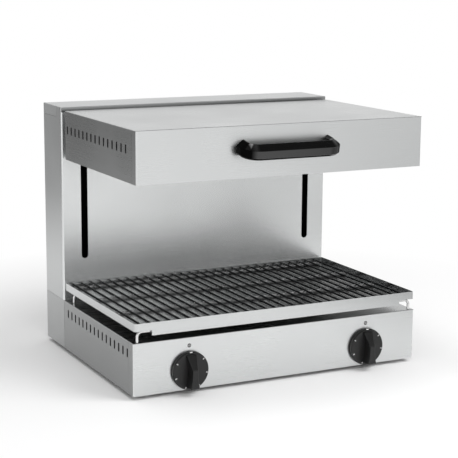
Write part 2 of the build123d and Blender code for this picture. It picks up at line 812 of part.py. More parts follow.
def pilot_lamp():
    """Small domed lamp: a lens on the panel, and its body behind."""
    dome_radius = (lamp_diameter ** 2 / 4 + lamp_dome ** 2) / (2 * lamp_dome)
    lens = Pos(0, 0, lamp_dome - dome_radius) * Sphere(dome_radius)
    lens &= extrude(Circle(lamp_diameter / 2), lamp_dome)
    stem = extrude(Circle(lamp_stem_diameter / 2), -sheet)
    body = Pos(0, 0, -sheet) * extrude(Circle(lamp_body_diameter / 2), -lamp_body_length)
    return lens + stem + body


# Mains inlet

def cable_gland():
    """Gland in the back of the base: hexagon, rounded cap and open bore."""
    hexagon = RegularPolygon(gland_hex / 2, 6)
    inside = extrude(Circle(gland_diameter / 2), -sheet - gland_hex_thickness)
    nut = Pos(0, 0, -sheet) * extrude(hexagon, -gland_hex_thickness)
    flange = extrude(hexagon, gland_hex_thickness)
    cap = extrude(Circle(gland_diameter / 2), gland_reach)
    cap = fillet(cap.faces().sort_by(Axis.Z)[-1].edges(), (gland_diameter - gland_bore) / 4)
    body = inside + nut + flange + cap
    body -= extrude(Circle(gland_bore / 2), gland_reach + overrun, both=True)
    return Pos(gland_x, back_y, base_bottom + gland_rise) * Rot(-90, 0, 0) * body


def terminal_block():
    """Mains terminal block on the bottom pan, near the gland."""
    front, back = around(back_y - block_offset, block_depth)
    body = block(around(gland_x, block_width), (front, back), (pan_top, pan_top + block_height))
    pitch = block_width / block_ways
    first = gland_x - pitch * (block_ways - 1) / 2
    z = pan_top + block_height / 2
    return body - [rod((first + pitch * way, front, z), (first + pitch * way, back, z), block_bore)
                   for way in range(block_ways)]


# Tray and grid

def drip_tray():
    """Shallow pan with a deep front wall, cut back at both ends for the legs."""
    inner_corner = tray_corner - tray_wall
    middle = Pos(0, (tray_front + tray_rear) / 2, tray_bottom)
    pan = extrude(RectangleRounded(tray_width, tray_depth, tray_corner), tray_height)
    pan -= Pos(0, 0, tray_wall) * extrude(
        RectangleRounded(tray_width - 2 * tray_wall, tray_depth - 2 * tray_wall, inner_corner), tray_height)
    half_skirt = half_tray - notch_width
    skirt = block((-half_skirt, half_skirt), (tray_front, tray_front + tray_wall),
                  (tray_top - tray_skirt, tray_bottom + tray_wall))
    return middle * pan + skirt


def tray_leg_wire(y):
    """A wire across the tray's underside with both ends turned down as legs."""
    x = half_tray - leg_inset
    top = tray_bottom - weld_gap - leg_wire / 2
    low = base_top + free_gap
    return wire([(-x, y, low), (-x, y, top), (x, y, top), (x, y, low)], leg_bend, leg_wire)


def wire_grid():
    """Round rods from front to back, welded on to cross rods that lie in the tray."""
    low_y = tray_front + tray_wall + grid_gap
    high_y = tray_rear - tray_wall - grid_gap
    cross_z = tray_bottom + tray_wall + free_gap + cross_diameter / 2
    rod_z = cross_z + (cross_diameter + rod_diameter) / 2 - weld_sink
    gaps = int((tray_width - 2 * (tray_wall + grid_margin)) / rod_pitch)
    half = rod_pitch * gaps / 2
    places = [rod_pitch * number - half for number in range(gaps + 1)]
    step = (high_y - low_y - 2 * cross_inset) / (cross_count - 1)
    end = half + rod_diameter
    bars = [rod((x, low_y, rod_z), (x, high_y, rod_z), rod_diameter) for x in places]
    bars += [rod((-end, y, cross_z), (end, y, cross_z), cross_diameter)
             for y in [low_y + cross_inset + step * number for number in range(cross_count)]]
    return bars[0].fuse(*bars[1:])


# Every piece under its own name

pieces = {
    "base_front_panel": base_front_panel(),
    "base_side_left": base_side(),
    "base_side_right": mirrored(base_side()),
    "base_top_plate": base_top_plate(),
    "base_bottom_pan": base_bottom_pan(),
    "feet": feet(),
    "rear_side_left": rear_side(),
    "rear_side_right": mirrored(rear_side()),
    "rear_base_cover": rear_base_cover(),
    "backsplash": backsplash(),
    "column_side_left": column_side(),
    "column_side_right": mirrored(column_side()),
    "column_rear_cover": column_rear_cover(),
    "column_cap": column_cap(),
    "upper_bracket": upper_bracket(),
    "lower_bracket": lower_bracket(),
    "guide_rod_left": guide_rod(),
    "guide_rod_right": mirrored(guide_rod()),
    "weight_guide_rods": weight_guide_rods(),
    "pulley_brackets": pulley_brackets(),
    "pulley_axles": pulley_axles(),
    "pulley_left": pulley(),
    "pulley_right": mirrored(pulley()),
    "cable_wraps": cable_wraps(),
    "cables_to_hood": cable_runs(cable_y, anchor_top),
    "cables_to_weight": cable_runs(weight_y, weight_top + anchor_height),
    "counterweight": counterweight(),
    "hood_front_panel": hood_front_panel(),
    "hood_side_left": hood_side(),
    "hood_side_right": mirrored(hood_side()),
    "hood_top_plate": hood_top_plate(),
    "hood_rear_panel": hood_rear_panel(),
    "hood_rim": hood_rim(),
    "reflector": reflector(),
    "insulation": insulation(),
    "heating_element_left": heating_element(),
    "heating_element_right": mirrored(heating_element()),
    "element_supports": element_supports(),
    "hood_handle": hood_handle(),
    "handle_screws": handle_screws(),
    "hood_arm_left": hood_arm(),
    "hood_arm_right": mirrored(hood_arm()),
    "carriage": carriage(),
    "slide_bushes": slide_bushes(),
    "knob_left": on_panel(-knob_spacing / 2, knob_rise) * control_knob(),
    "knob_right": on_panel(knob_spacing / 2, knob_rise) * control_knob(),
    "knob_shaft_left": on_panel(-knob_spacing / 2, knob_rise) * knob_shaft(),
    "knob_shaft_right": on_panel(knob_spacing / 2, knob_rise) * knob_shaft(),
    "regulator_left": on_panel(-knob_spacing / 2, knob_rise) * regulator(),
    "regulator_right": on_panel(knob_spacing / 2, knob_rise) * regulator(),
    "pilot_lamp_left": on_panel(-knob_spacing / 2, lamp_rise) * pilot_lamp(),
    "pilot_lamp_right": on_panel(knob_spacing / 2, lamp_rise) * pilot_lamp(),
    "cable_gland": cable_gland(),
    "terminal_block": terminal_block(),
    "drip_tray": drip_tray(),
    "tray_front_legs": tray_leg_wire(tray_front + front_leg_offset),
    "tray_rear_legs": tray_leg_wire(tray_rear - rear_leg_offset),
    "wire_grid": wire_grid(),
}

for name, piece in pieces.items():
    shape = Compound(children=piece) if isinstance(piece, list) else piece
    export_step(shape, os.path.join("parts", name + ".step"))
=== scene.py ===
"""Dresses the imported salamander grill: finishes, small fittings, the studio and the camera."""
import math

import bpy
from mathutils import Matrix, Vector


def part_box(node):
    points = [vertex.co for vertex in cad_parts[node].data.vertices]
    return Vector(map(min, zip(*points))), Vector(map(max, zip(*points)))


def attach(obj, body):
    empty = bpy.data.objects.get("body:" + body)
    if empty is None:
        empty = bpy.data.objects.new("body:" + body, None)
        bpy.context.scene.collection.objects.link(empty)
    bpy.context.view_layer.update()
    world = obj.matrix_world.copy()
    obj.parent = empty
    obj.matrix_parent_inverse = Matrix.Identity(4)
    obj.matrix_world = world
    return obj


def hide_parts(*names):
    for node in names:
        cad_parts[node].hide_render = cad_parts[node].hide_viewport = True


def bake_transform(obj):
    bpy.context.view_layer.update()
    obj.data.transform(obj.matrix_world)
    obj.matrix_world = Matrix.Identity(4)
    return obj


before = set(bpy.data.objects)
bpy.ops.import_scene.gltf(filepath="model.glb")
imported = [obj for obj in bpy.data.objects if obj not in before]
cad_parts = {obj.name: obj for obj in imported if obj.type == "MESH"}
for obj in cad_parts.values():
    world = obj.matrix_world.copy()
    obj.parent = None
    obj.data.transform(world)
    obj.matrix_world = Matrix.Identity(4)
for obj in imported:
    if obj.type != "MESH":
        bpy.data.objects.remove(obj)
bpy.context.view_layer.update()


# Base casing: 1.2 mm stainless sheet, folded and spot welded, with a row of vents in each side.
# It is brushed along the length of each sheet, so the lines run one way and blur what it mirrors.
def start_material(name):
    """A material with its node tree, its shader and the piece's own coordinates."""
    material = bpy.data.materials.new(name)
    material.use_nodes = True
    nodes, links = material.node_tree.nodes, material.node_tree.links
    place = nodes.new("ShaderNodeTexCoord").outputs["Object"]
    return material, nodes, links, nodes["Principled BSDF"], place


def noise(nodes, links, place, scale, detail=2.0, roughness=0.5):
    """Noise with so many lumps to the metre along each axis."""
    mapping = nodes.new("ShaderNodeMapping")
    mapping.inputs["Scale"].default_value = scale
    texture = nodes.new("ShaderNodeTexNoise")
    texture.inputs["Scale"].default_value = 1.0
    texture.inputs["Detail"].default_value = detail
    texture.inputs["Roughness"].default_value = roughness
    links.new(place, mapping.inputs["Vector"])
    links.new(mapping.outputs["Vector"], texture.inputs["Vector"])
    return texture.outputs["Fac"]


def spread(nodes, links, value, low, high, start=0.3, end=0.7):
    """A value's range from start to end, stretched between two numbers."""
    stretch = nodes.new("ShaderNodeMapRange")
    for name, number in zip(("From Min", "From Max", "To Min", "To Max"), (start, end, low, high)):
        stretch.inputs[name].default_value = number
    links.new(value, stretch.inputs["Value"])
    return stretch.outputs["Result"]


def tint(nodes, links, value, dark, light):
    """A colour between two by a value; each is a grey, a colour or another node's colour."""
    mix = nodes.new("ShaderNodeMix")
    mix.data_type = "RGBA"
    ends = [socket for socket in mix.inputs if socket.type == "RGBA"]
    for socket, colour in zip(ends, (dark, light)):
        if isinstance(colour, bpy.types.NodeSocket):
            links.new(colour, socket)
        else:
            red_green_blue = colour if isinstance(colour, tuple) else (colour, colour, colour)
            socket.default_value = (*red_green_blue, 1.0)
    links.new(value, mix.inputs["Factor"])
    return next(socket for socket in mix.outputs if socket.type == "RGBA")


def combine(nodes, links, operation, first, second):
    """Two values joined by an operation; either may be a number."""
    joined = nodes.new("ShaderNodeMath")
    joined.operation = operation
    for socket, value in zip(joined.inputs, (first, second)):
        if isinstance(value, bpy.types.NodeSocket):
            links.new(value, socket)
        else:
            socket.default_value = value
    return joined.outputs["Value"]


def relief(nodes, links, shader, height, depth, strength):
    """Bumps of a depth in metres."""
    bump = nodes.new("ShaderNodeBump")
    bump.inputs["Distance"].default_value = depth
    bump.inputs["Strength"].default_value = strength
    links.new(height, bump.inputs["Height"])
    links.new(bump.outputs["Normal"], shader.inputs["Normal"])


def cool_grey(tone):
    """A grey with the faint cool hue of stainless steel."""
    red_share = 0.983
    return tone * red_share, tone, tone


def brushed_steel(name, grain, axis, tone, gloss,
                  painted_limits=(), painted_tones=(0.06, 0.06), smear=0.45, haze=0.0):
    """Stainless sheet brushed along one axis, with faint clouds where it was wiped.

    Within the given limits its colour is painted over in flat tones, going from left to right, as painted
    shade; on the tray floor the light tone is painted reflection.
    """
    material, nodes, links, shader, place = start_material(name)
    lines_along, lines_across, cloud, half_width = 2.0, 1300.0, 7.0, 0.29
    line_contrast, line_depth, line_strength, across_grain = 0.025, 0.00001, 0.12, 0.25
    scale = [lines_along if letter == grain else lines_across for letter in "XYZ"]
    lines = noise(nodes, links, place, scale, detail=3.0, roughness=0.55)
    clouds = noise(nodes, links, place, (cloud, cloud, cloud))
    dark, light = cool_grey(tone * (1.0 - line_contrast)), cool_grey(tone * (1.0 + line_contrast))
    colour = tint(nodes, links, lines, dark, light)
    # Painted shade: inside the limits the brushed colour gives way to flat tones.
    if painted_limits:
        axes = nodes.new("ShaderNodeSeparateXYZ")
        links.new(place, axes.inputs["Vector"])
        within = 1.0
        for letter, side, limit in painted_limits:
            beyond = combine(nodes, links, side, axes.outputs[letter], limit)
            within = combine(nodes, links, "MULTIPLY", beyond, within)
        sideways = spread(nodes, links, axes.outputs["X"], 0.0, 1.0, start=-half_width, end=half_width)
        painted_colour = tint(nodes, links, sideways, *map(cool_grey, painted_tones))
        colour = tint(nodes, links, within, colour, painted_colour)
    links.new(colour, shader.inputs["Base Color"])
    streaks = spread(nodes, links, lines, gloss - 0.02, gloss + 0.02)
    smears = spread(nodes, links, clouds, low=-0.02, high=0.025)
    links.new(combine(nodes, links, "ADD", streaks, smears), shader.inputs["Roughness"])
    turn = nodes.new("ShaderNodeTangent")
    turn.direction_type = "RADIAL"
    turn.axis = axis
    links.new(turn.outputs["Tangent"], shader.inputs["Tangent"])
    shader.inputs["Metallic"].default_value = 1.0 - haze
    shader.inputs["Anisotropic"].default_value = smear
    shader.inputs["Anisotropic Rotation"].default_value = across_grain
    relief(nodes, links, shader, lines, line_depth, line_strength)
    return material


def finish(material, *names):
    """Gives CAD nodes their material."""
    for name in names:
        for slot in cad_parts[name].material_slots:
            slot.material = material


def behind_faces(left, right, outer_skin):
    """The limits of what lies behind the outer faces of a left and a right sheet."""
    low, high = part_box(left)[0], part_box(right)[1]
    return ("X", "GREATER_THAN", low.x + outer_skin), ("X", "LESS_THAN", high.x - outer_skin)


front_tone, sheet_gloss, side_gloss = 0.71, 0.29, 0.31
front_steel = brushed_steel("front_steel", "X", "Z", front_tone, sheet_gloss)
finish(front_steel, "rear_base_cover")
# Painted shade: the side sheets, the rear sides and the front's folded returns are darker than the front,
# and the faces inside the sides are near black.
shaded_side_tone, fold, cut_edge = 0.33, 0.0024, 0.0002
returns = (("Y", "GREATER_THAN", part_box("base_front_panel")[0].y + fold),)
finish(brushed_steel("base_front_steel", "X", "Z", front_tone, sheet_gloss, returns, (shaded_side_tone, shaded_side_tone)),
       "base_front_panel")
backs = behind_faces("base_side_left", "base_side_right", cut_edge)
finish(brushed_steel("base_side_steel", "Y", "Z", shaded_side_tone, side_gloss, backs),
       "base_side_left", "base_side_right")
finish(brushed_steel("rear_side_steel", "Y", "Z", tone=0.43, gloss=side_gloss),
       "rear_side_left", "rear_side_right")
finish(brushed_steel("base_top_steel", "X", "Y", tone=0.50, gloss=0.27), "base_top_plate")


# Bottom pan: plain zinc-coated sheet with air slots, fixed to the casing by cross-head screws.
# The feet are moulded discs of pale grey plastic.
def zinc(name, tone):
    """Zinc-coated sheet with its faint crystals."""
    material, nodes, links, shader, place = start_material(name)
    crystals = nodes.new("ShaderNodeTexVoronoi")
    crystals_to_the_metre, darkest, lightest = 140.0, 0.9, 1.06
    crystals.inputs["Scale"].default_value = crystals_to_the_metre
    links.new(place, crystals.inputs["Vector"])
    split = nodes.new("ShaderNodeSeparateColor")
    links.new(crystals.outputs["Color"], split.inputs["Color"])
    grey = split.outputs["Red"]
    links.new(tint(nodes, links, grey, tone * darkest, tone * lightest), shader.inputs["Base Color"])
    gloss = spread(nodes, links, grey, low=0.34, high=0.5, start=0.0, end=1.0)
    links.new(gloss, shader.inputs["Roughness"])
    shader.inputs["Metallic"].default_value = 1.0
    return material


def moulded(name, dark, light, gloss, grit, depth):
    """Moulded plastic with a fine even grit and faint flow clouds."""
    material, nodes, links, shader, place = start_material(name)
    cloud = 30.0
    grains = noise(nodes, links, place, (grit, grit, grit))
    clouds = noise(nodes, links, place, (cloud, cloud, cloud))
    links.new(tint(nodes, links, clouds, dark, light), shader.inputs["Base Color"])
    links.new(spread(nodes, links, grains, gloss - 0.04, gloss + 0.05), shader.inputs["Roughness"])
    relief(nodes, links, shader, grains, depth, strength=0.3)
    return material


def bright_wire(name, dark, light, gloss):
    """Drawn or ground round steel with fine scores."""
    material, nodes, links, shader, place = start_material(name)
    fineness = 900.0
    scores = noise(nodes, links, place, (fineness, fineness, fineness))
    links.new(tint(nodes, links, scores, dark, light), shader.inputs["Base Color"])
    links.new(spread(nodes, links, scores, gloss - 0.03, gloss + 0.04), shader.inputs["Roughness"])
    shader.inputs["Metallic"].default_value = 1.0
    return material


def node_tree(name, inputs):
    """A geometry node tree with named inputs: the tree, its given and resulting sockets, and their keys."""
    tree = bpy.data.node_groups.new(name, "GeometryNodeTree")
    kinds = {"float": "NodeSocketFloat", "int": "NodeSocketInt", "vector": "NodeSocketVector"}
    tree.interface.new_socket("Geometry", in_out="INPUT", socket_type="NodeSocketGeometry")
    tree.interface.new_socket("Geometry", in_out="OUTPUT", socket_type="NodeSocketGeometry")
    keys = {label: tree.interface.new_socket(label, in_out="INPUT", socket_type=kinds[kind]).identifier
            for label, kind in inputs.items()}
    return tree, tree.nodes.new("NodeGroupInput").outputs, tree.nodes.new("NodeGroupOutput").inputs, keys


def node(tree, kind, **inputs):
    """A node whose inputs are constants or other nodes' sockets; its outputs."""
    made = tree.nodes.new(kind)
    for name, value in inputs.items():
        socket = made.inputs[name.replace("_", " ")]
        if isinstance(value, bpy.types.NodeSocket):
            tree.links.new(value, socket)
        else:
            socket.default_value = value
    return made.outputs


def vector(tree, x=0.0, y=0.0, z=0.0):
    """Three values as one vector."""
    return node(tree, "ShaderNodeCombineXYZ", X=x, Y=y, Z=z)["Vector"]


def reckon(tree, operation, first, second):
    """Two of a tree's values joined by an operation."""
    return combine(tree.nodes, tree.links, operation, first, second)


def moved(tree, shape, **change):
    """A shape moved, turned or scaled."""
    return node(tree, "GeometryNodeTransform", Geometry=shape, **change)["Geometry"]


def join(tree, *shapes):
    """Several shapes as one."""
    joined = tree.nodes.new("GeometryNodeJoinGeometry")
    for shape in shapes:
        tree.links.new(shape, joined.inputs["Geometry"])
    return joined.outputs["Geometry"]


def random(tree, low, high, seed):
    """A random value for each instance."""
    made = tree.nodes.new("FunctionNodeRandomValue")
    made.data_type = "FLOAT"
    ends = [socket for socket in made.inputs if socket.enabled and socket.name in ("Min", "Max")]
    for socket, value in zip(ends, (low, high)):
        socket.default_value = value
    tree.links.new(seed, made.inputs["Seed"])
    return next(socket for socket in made.outputs if socket.enabled)


def coated(tree, shape, material):
    """A shape's instances as one smooth mesh, with its material."""
    shape = node(tree, "GeometryNodeRealizeInstances", Geometry=shape)["Geometry"]
    shape = node(tree, "GeometryNodeSetShadeSmooth", Geometry=shape)["Geometry"]
    return node(tree, "GeometryNodeSetMaterial", Geometry=shape, Material=material)["Geometry"]


def grow(name, points, tree, keys, values, crease, body):
    """A plain mesh object grown from points by a tree, which rides on a body."""
    seed_mesh = bpy.data.meshes.new(name)
    seed_mesh.from_pydata(points, [], [])
    piece = bpy.data.objects.new(name, seed_mesh)
    bpy.context.scene.collection.objects.link(piece)
    modifier = piece.modifiers.new(name, "NODES")
    modifier.node_group = tree
    for label, value in values.items():
        modifier[keys[label]] = value
    grown = bpy.data.meshes.new_from_object(piece.evaluated_get(bpy.context.evaluated_depsgraph_get()))
    piece.modifiers.clear()
    piece.data = grown
    grown.set_sharp_from_angle(angle=math.radians(crease))
    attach(piece, body)
    return piece


screw_tree, given, result, screw_keys = node_tree("cross_head_screws", {
    "Head Radius": "float", "Head Height": "float", "Cross Width": "float",
    "Facing": "vector", "Seed": "int"})
head_radius, head_height = given["Head Radius"], given["Head Height"]
head = node(screw_tree, "GeometryNodeMeshUVSphere", Segments=28, Rings=14, Radius=head_radius)["Mesh"]
squat = reckon(screw_tree, "DIVIDE", head_height, head_radius)
head = moved(screw_tree, head, Scale=vector(screw_tree, 1.0, 1.0, squat))
cross_bar = vector(screw_tree, head_radius, given["Cross Width"], head_height)
cross_bar = node(screw_tree, "GeometryNodeMeshCube", Size=cross_bar)["Mesh"]
cross_bar = moved(screw_tree, cross_bar, Translation=vector(screw_tree, z=head_height))
for cutter in (cross_bar, moved(screw_tree, cross_bar, Rotation=(0.0, 0.0, math.pi / 2))):
    head = node(screw_tree, "GeometryNodeMeshBoolean", Mesh_1=head, Mesh_2=cutter)["Mesh"]
heads = node(screw_tree, "GeometryNodeInstanceOnPoints", Points=given["Geometry"], Instance=head,
             Rotation=given["Facing"])["Instances"]
twist = vector(screw_tree, z=random(screw_tree, 0.0, math.pi, given["Seed"]))
heads = node(screw_tree, "GeometryNodeRotateInstances", Instances=heads, Rotation=twist,
             Local_Space=True)["Instances"]
heads = coated(screw_tree, heads, bright_wire("screw_steel", dark=0.56, light=0.66, gloss=0.26))
screw_tree.links.new(heads, result["Geometry"])


def screws(name, points, facing, body, seed, height=0.0019):
    """Cross-head screws at some points of a sheet, facing one way."""
    sizes = {"Head Radius": 0.0038, "Head Height": height, "Cross Width": 0.0011,
             "Facing": facing, "Seed": seed}
    grow(name, points, screw_tree, screw_keys, sizes, crease=35, body=body)


face_down, face_back = (math.pi, 0.0, 0.0), (-math.pi / 2, 0.0, 0.0)
low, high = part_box("base_bottom_pan")
inset = 0.012
pan_points = [(x, y, low.z) for x in (low.x + inset, 0.0, high.x - inset)
              for y in (low.y + inset, high.y - inset)]
screws("pan_screws", pan_points, face_down, "base", seed=3)
finish(zinc("pan_zinc", tone=0.50), "base_bottom_pan")
# The feet's pale grey is partly their own colour and partly painted light, so that they show in the shade
# under the base.
finish(moulded("foot_grey", dark=0.66, light=0.74, gloss=0.62, grit=900.0, depth=0.00005), "feet")


# Column: the backsplash with its two slots, two sides, a lid and a rear cover of the same brushed
# sheet, with the lines upright on the sides. The rear covers come off, so their screws show.
finish(brushed_steel("splash_steel", "X", "Z", tone=0.79, gloss=0.205, smear=0.88, haze=0.16), "backsplash")
side_skin = 0.0007
# Painted shade: the sides are darker than the front sheets, and their faces inside are near black.
backs = behind_faces("column_side_left", "column_side_right", side_skin)
finish(brushed_steel("column_side_steel", "Z", "Y", tone=0.55, gloss=side_gloss, painted_limits=backs),
       "column_side_left", "column_side_right")
low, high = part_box("column_cap")
sheet, lip_shade_tones = 0.0013, (0.42, 0.30)
# Painted shade: the lid's front lip is darker than its top, and darker still towards the right.
lip = (("Y", "LESS_THAN", low.y + sheet), ("Z", "LESS_THAN", high.z - sheet))
finish(brushed_steel("cap_steel", "X", "Y", tone=0.65, gloss=sheet_gloss, painted_limits=lip, painted_tones=lip_shade_tones),
       "column_cap")
low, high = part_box("column_rear_cover")
lower_low, lower_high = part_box("rear_base_cover")
inset, cover_skin = 0.012, 0.00055
# Painted shade: all but the outer back face of the cover is near black.
back = (("Y", "LESS_THAN", high.y - cover_skin),)
finish(brushed_steel("cover_steel", "Z", "X", tone=0.64, gloss=side_gloss, painted_limits=back), "column_rear_cover")
columns = (low.x + inset, low.x / 3, high.x / 3, high.x - inset)
rows = (lower_low.z + inset, lower_high.z - inset, low.z + inset, high.z - inset)
cover_points = [(x, high.y, z) for x in columns for z in rows]
cover_points += [(x, high.y, (low.z + high.z) / 2) for x in (columns[0], columns[-1])]
screws("rear_cover_screws", cover_points, face_back, "base", seed=5)


# Slides and counterbalance, inside the column: ground rods, bronze bushes, folded zinc-coated
# brackets, a cast iron weight, moulded pulleys and stranded cable. The cable's straight runs are
# made again as round meshes, from each pulley to what hangs on it.
rod_chrome = bright_wire("rod_chrome", dark=0.70, light=0.78, gloss=0.13)
finish(rod_chrome, "guide_rod_left", "guide_rod_right", "weight_guide_rods", "pulley_axles", "handle_screws")
finish(zinc("bracket_zinc", tone=0.47), "upper_bracket", "lower_bracket", "pulley_brackets", "carriage")
finish(zinc("arm_zinc", tone=0.44), "hood_arm_left", "hood_arm_right")

bush_bronze, nodes, links, shader, place = start_material("bush_bronze")
rings = noise(nodes, links, place, (60.0, 60.0, 1400.0))
links.new(tint(nodes, links, rings, (0.58, 0.40, 0.18), (0.70, 0.50, 0.25)), shader.inputs["Base Color"])
links.new(spread(nodes, links, rings, low=0.25, high=0.38), shader.inputs["Roughness"])
shader.inputs["Metallic"].default_value = 1.0
finish(bush_bronze, "slide_bushes")

cast_iron, nodes, links, shader, place = start_material("cast_iron")
skin = noise(nodes, links, place, (220.0, 220.0, 220.0), detail=5.0)
links.new(tint(nodes, links, skin, dark=0.13, light=0.24), shader.inputs["Base Color"])
links.new(spread(nodes, links, skin, low=0.5, high=0.7), shader.inputs["Roughness"])
shader.inputs["Metallic"].default_value = 0.8
relief(nodes, links, shader, skin, depth=0.0003, strength=0.5)
finish(cast_iron, "counterweight")

stranded, nodes, links, shader, place = start_material("stranded_cable")
lay = noise(nodes, links, place, (1500.0, 1500.0, 350.0))
links.new(tint(nodes, links, lay, dark=0.34, light=0.54), shader.inputs["Base Color"])
links.new(spread(nodes, links, lay, low=0.32, high=0.5), shader.inputs["Roughness"])
shader.inputs["Metallic"].default_value = 1.0
relief(nodes, links, shader, lay, depth=0.0003, strength=0.6)
finish(stranded, "cable_wraps", "cables_to_hood", "cables_to_weight")
corners, crease = 16, math.radians(40)
round_off = [2 * math.pi * corner / corners for corner in range(corners)]
for runs, body in (("cables_to_hood", "hood"), ("cables_to_weight", "counterweight")):
    low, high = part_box(runs)
    radius, middle = (high.y - low.y) / 2, (low.y + high.y) / 2
    points, faces = [], []
    for x in (low.x + radius, high.x - radius):
        bottom = [len(points) + corner for corner in range(corners)]
        top = [corner + corners for corner in bottom]
        points += [(x + radius * math.cos(turn), middle + radius * math.sin(turn), z)
                   for z in (low.z, high.z) for turn in round_off]
        faces += [bottom[::-1], top]
        faces += [(bottom[corner - 1], bottom[corner], top[corner], top[corner - 1])
                  for corner in range(corners)]
    mesh = bpy.data.meshes.new(f"taut_{runs}")
    mesh.from_pydata(points, [], faces)
    mesh.shade_smooth()
    mesh.set_sharp_from_angle(angle=crease)
    mesh.materials.append(stranded)
    taut = bpy.data.objects.new(f"taut_{runs}", mesh)
    bpy.context.scene.collection.objects.link(taut)
    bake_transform(taut)
    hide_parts(runs)
finish(moulded("pulley_nylon", dark=0.62, light=0.70, gloss=0.42, grit=700.0, depth=0.00004),
       "pulley_left", "pulley_right")


# Hood casing: a shallow box of the same sheet, folded like the base, with vents in both sides and
# a flat frame screwed on round its mouth.
finish(front_steel, "hood_rear_panel")
# Painted shade: the hood's sides and the front's folded returns are darker than the front, and the faces
# inside the sides are near black.
shaded_side_tone = 0.38
returns = (("Y", "GREATER_THAN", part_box("hood_front_panel")[0].y + fold),)
finish(brushed_steel("hood_front_steel", "X", "Z", front_tone, sheet_gloss, returns, (shaded_side_tone, shaded_side_tone)),
       "hood_front_panel")
finish(brushed_steel("flat_steel", "X", "Y", tone=0.67, gloss=sheet_gloss), "hood_top_plate", "hood_rim")
backs = behind_faces("hood_side_left", "hood_side_right", cut_edge)
finish(brushed_steel("hood_side_steel", "Y", "Z", tone=shaded_side_tone, gloss=0.28, painted_limits=backs),
       "hood_side_left", "hood_side_right")
low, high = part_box("hood_rim")
inset, gaps = 0.006, 4
rim_x, rim_y = (low.x + inset, high.x - inset), (low.y + inset, high.y - inset)
rim_points = [(x, rim_y[0] + (rim_y[1] - rim_y[0]) * number / gaps, low.z)
              for x in rim_x for number in range(gaps + 1)]
rim_points += [(rim_x[0] + (rim_x[1] - rim_x[0]) * number / gaps, y, low.z)
               for y in rim_y for number in range(1, gaps)]
screws("rim_screws", rim_points, face_down, "hood", seed=8, height=0.0011)


# Heat: a bright pan as reflector, a fibre mat on it, and two tubes bent in runs and hung on straps.
# The tubes are dark and dull from heat.
finish(brushed_steel("reflector_steel", "X", "Y", tone=0.70, gloss=0.20), "reflector")

fibre, nodes, links, shader, place = start_material("fibre_mat")
strands = noise(nodes, links, place, (160.0, 500.0, 500.0), detail=4.0)
links.new(tint(nodes, links, strands, (0.78, 0.77, 0.73), (0.90, 0.89, 0.86)), shader.inputs["Base Color"])
shader.inputs["Roughness"].default_value = 0.95
relief(nodes, links, shader, strands, depth=0.0006, strength=0.6)
finish(fibre, "insulation")

scaled_tube, nodes, links, shader, place = start_material("scaled_tube")
patches = noise(nodes, links, place, (26.0, 14.0, 26.0), detail=3.0)
specks = noise(nodes, links, place, (900.0, 900.0, 900.0))
links.new(tint(nodes, links, patches, (0.085, 0.075, 0.07), (0.17, 0.15, 0.14)), shader.inputs["Base Color"])
links.new(spread(nodes, links, specks, low=0.42, high=0.6), shader.inputs["Roughness"])
shader.inputs["Metallic"].default_value = 0.75
relief(nodes, links, shader, specks, depth=0.00004, strength=0.4)
finish(scaled_tube, "heating_element_left", "heating_element_right")
finish(zinc("strap_steel", tone=0.42), "element_supports")


# Handle: a faceted bar moulded in glossy black plastic, screwed on from inside the hood.
# Its bar shows the pale floor in its front; on its bent ends the reflection is turned nearly off, as painted
# shade.
handle_gloss = moulded("handle_gloss", dark=0.002, light=0.003, gloss=0.09, grit=900.0, depth=0.000002)
nodes, links = handle_gloss.node_tree.nodes, handle_gloss.node_tree.links
axes = nodes.new("ShaderNodeSeparateXYZ")
links.new(nodes["Texture Coordinate"].outputs["Object"], axes.inputs["Vector"])
sideways = combine(nodes, links, "ABSOLUTE", axes.outputs["X"], 0.0)
# Painted shade: the reflection fades out towards the ends.
bar_reflection, end_painted_shade_reflection, bend_start, bend_end = 0.85, 0.01, 0.080, 0.090
reflection_with_painted_shade = spread(nodes, links, sideways, bar_reflection, end_painted_shade_reflection, bend_start, bend_end)
links.new(reflection_with_painted_shade, nodes["Principled BSDF"].inputs["Specular IOR Level"])
finish(handle_gloss, "hood_handle")


# Controls: two satin black moulded knobs on steel shafts, with white marks printed on them, and a
# small grey lamp over each. The regulators, the terminal block and the gland are black mouldings.
finish(rod_chrome, "knob_shaft_left", "knob_shaft_right")
finish(moulded("knob_black", dark=0.004, light=0.006, gloss=0.40, grit=1500.0, depth=0.00003),
       "knob_left", "knob_right")
finish(moulded("fitting_black", dark=0.02, light=0.03, gloss=0.48, grit=1100.0, depth=0.00004),
       "regulator_left", "regulator_right", "terminal_block", "cable_gland")

lamp_lens, nodes, links, shader, place = start_material("lamp_lens")
haze = noise(nodes, links, place, (500.0, 500.0, 500.0))
links.new(tint(nodes, links, haze, dark=0.24, light=0.31), shader.inputs["Base Color"])
links.new(spread(nodes, links, haze, low=0.16, high=0.24), shader.inputs["Roughness"])
shader.inputs["Metallic"].default_value = 0.6
finish(lamp_lens, "pilot_lamp_left", "pilot_lamp_right")

mark_white, nodes, links, shader, place = start_material("mark_white")
wear = noise(nodes, links, place, (1800.0, 1800.0, 1800.0), detail=3.0)
links.new(tint(nodes, links, wear, dark=0.66, light=0.84), shader.inputs["Base Color"])
links.new(spread(nodes, links, wear, low=0.45, high=0.6), shader.inputs["Roughness"])

